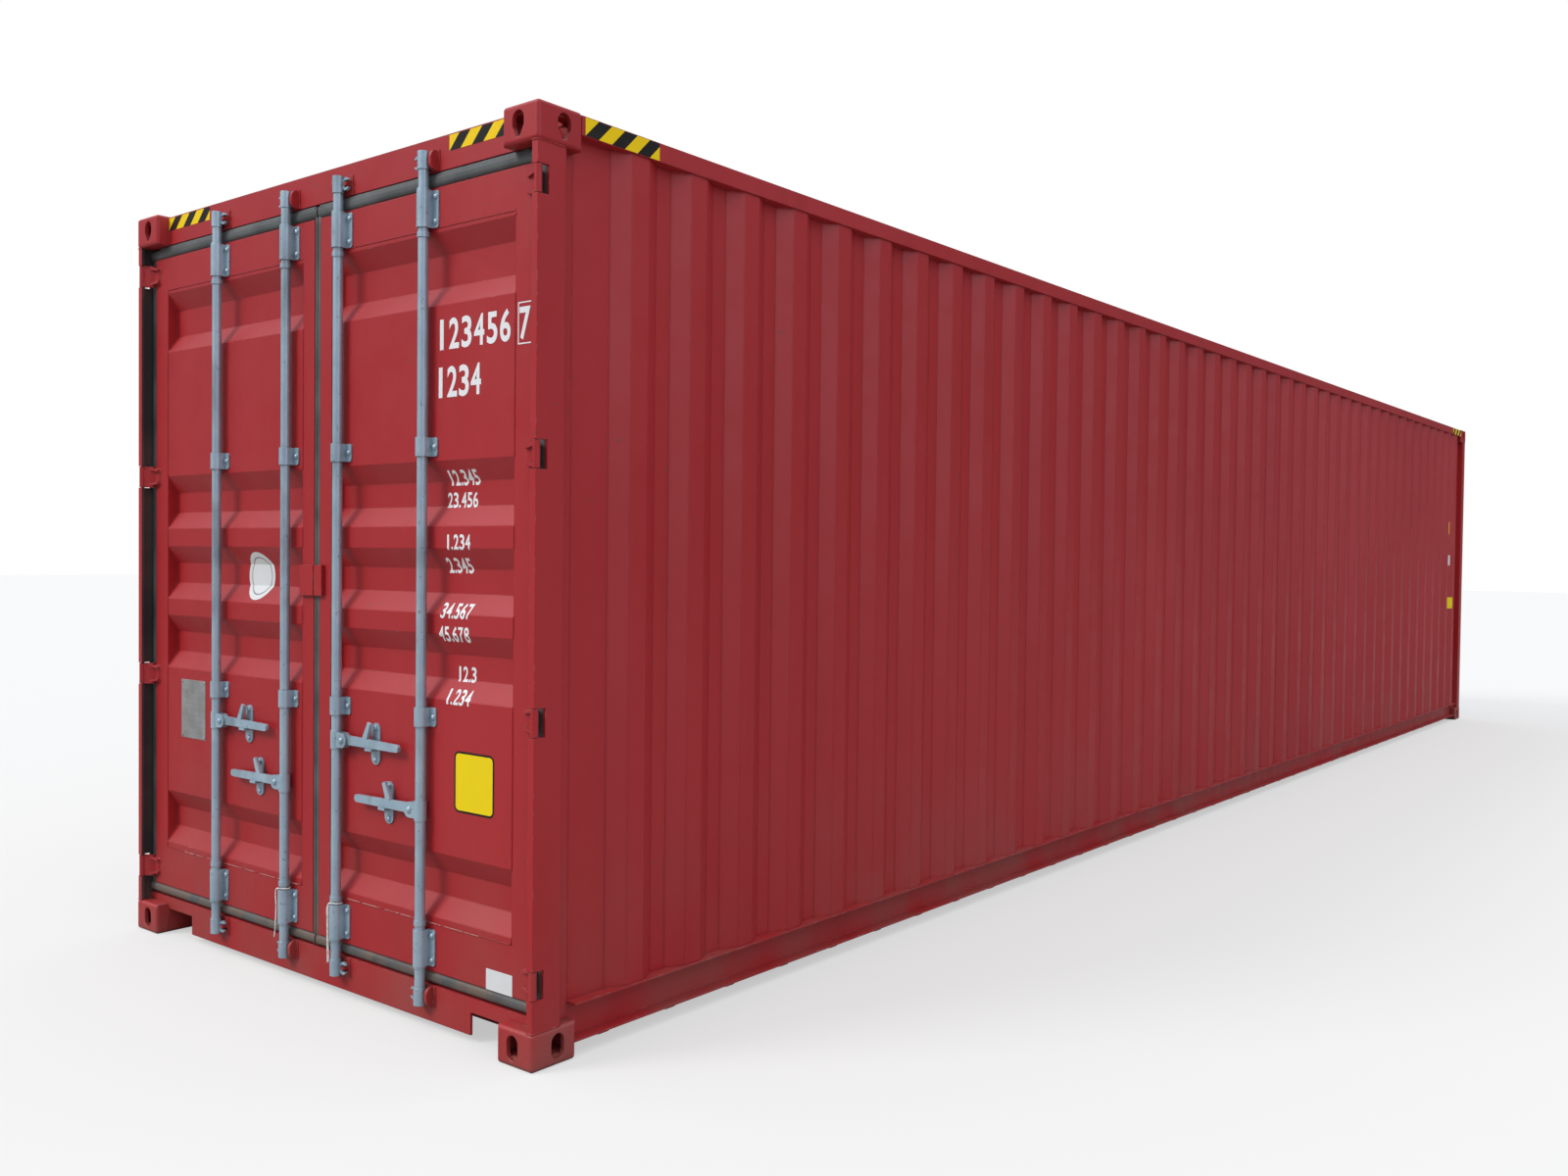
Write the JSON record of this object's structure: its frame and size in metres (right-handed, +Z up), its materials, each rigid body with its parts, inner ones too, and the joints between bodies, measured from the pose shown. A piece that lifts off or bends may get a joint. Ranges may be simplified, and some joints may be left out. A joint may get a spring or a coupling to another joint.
{
  "type": "shipping container",
  "caption": "High-cube freight container: corrugated steel walls and roof on a post frame, with two hinged doors closed by turning lock bars and lift handles.",
  "frame": {"origin": "centre of the footprint on the floor it stands on", "axes": "+X along the length from the door end to the closed end, +Y to the left when facing the doors, +Z up"},
  "size_m": [12.192, 2.438, 2.896],
  "materials": {
    "red_paint": "weathered maroon-red marine paint",
    "galvanised_steel": "dull hot-dip galvanised",
    "gasket_rubber": "matt weathered rubber",
    "plywood": "worn hardwood plywood",
    "rope_fibre": "soft twisted fibre"
  },
  "bodies": {
    "box": {"bottom_corner_castings": "red_paint", "top_corner_castings": "red_paint", "rear_post_left": "red_paint", "rear_post_right": "red_paint", "front_post_left": "red_paint", "front_post_right": "red_paint", "top_side_rail_left": "red_paint", "top_side_rail_right": "red_paint", "bottom_side_rail_left": "red_paint", "bottom_side_rail_right": "red_paint", "door_header": "red_paint", "door_sill": "red_paint", "front_header": "red_paint", "front_sill": "red_paint", "side_wall_left": "red_paint", "side_wall_right": "red_paint", "front_wall": "red_paint", "roof": "red_paint", "floor_cross_members": "red_paint", "gooseneck_tunnel": "red_paint", "plywood_floor": "plywood", "hinge_pins_left": "red_paint", "hinge_pins_right": "red_paint", "cam_keepers": "red_paint"},
    "left_door": {"door_frame_left": "red_paint", "door_panel_left": "red_paint", "door_gasket_left": "gasket_rubber", "hinge_blades_left": "red_paint", "bar_brackets_left": "galvanised_steel", "handle_cradles_left": "galvanised_steel", "lock_plate_left": "red_paint", "tie_rope_left": "rope_fibre"},
    "right_door": {"door_frame_right": "red_paint", "door_panel_right": "red_paint", "door_gasket_right": "gasket_rubber", "hinge_blades_right": "red_paint", "bar_brackets_right": "galvanised_steel", "handle_cradles_right": "galvanised_steel", "lock_plate_right": "red_paint", "tie_rope_right": "rope_fibre"},
    "lock_bar_1": {"lock_bar_1": "galvanised_steel"},
    "handle_1": {"handle_1": "galvanised_steel"},
    "lock_bar_2": {"lock_bar_2": "galvanised_steel"},
    "handle_2": {"handle_2": "galvanised_steel"},
    "lock_bar_3": {"lock_bar_3": "galvanised_steel"},
    "handle_3": {"handle_3": "galvanised_steel"},
    "lock_bar_4": {"lock_bar_4": "galvanised_steel"},
    "handle_4": {"handle_4": "galvanised_steel"}
  },
  "joints": [
    {"name": "left_door_swing", "type": "hinge", "parent": "box", "child": "left_door", "pos_m": [-6.081, 1.204, 0.26], "axis": [0, 0, -1], "range_deg": [0, 265]},
    {"name": "right_door_swing", "type": "hinge", "parent": "box", "child": "right_door", "pos_m": [-6.081, -1.204, 0.26], "axis": [0, 0, 1], "range_deg": [0, 265]},
    {"name": "lock_bar_1_turn", "type": "hinge", "parent": "left_door", "child": "lock_bar_1", "pos_m": [-6.071, 0.64, 0.905], "axis": [0, 0, 1], "range_deg": [-95, 0]},
    {"name": "lock_bar_2_turn", "type": "hinge", "parent": "left_door", "child": "lock_bar_2", "pos_m": [-6.071, 0.163, 0.715], "axis": [0, 0, -1], "range_deg": [-95, 0]},
    {"name": "lock_bar_3_turn", "type": "hinge", "parent": "right_door", "child": "lock_bar_3", "pos_m": [-6.071, -0.163, 0.905], "axis": [0, 0, 1], "range_deg": [-95, 0]},
    {"name": "lock_bar_4_turn", "type": "hinge", "parent": "right_door", "child": "lock_bar_4", "pos_m": [-6.071, -0.64, 0.715], "axis": [0, 0, -1], "range_deg": [-95, 0]},
    {"name": "handle_1_lift", "type": "hinge", "parent": "lock_bar_1", "child": "handle_1", "pos_m": [-6.071, 0.594, 0.905], "axis": [-1, 0, 0], "range_deg": [0, 25]},
    {"name": "handle_2_lift", "type": "hinge", "parent": "lock_bar_2", "child": "handle_2", "pos_m": [-6.071, 0.209, 0.715], "axis": [1, 0, 0], "range_deg": [0, 25]},
    {"name": "handle_3_lift", "type": "hinge", "parent": "lock_bar_3", "child": "handle_3", "pos_m": [-6.071, -0.209, 0.905], "axis": [-1, 0, 0], "range_deg": [0, 25]},
    {"name": "handle_4_lift", "type": "hinge", "parent": "lock_bar_4", "child": "handle_4", "pos_m": [-6.071, -0.594, 0.715], "axis": [1, 0, 0], "range_deg": [0, 25]}
  ]
}
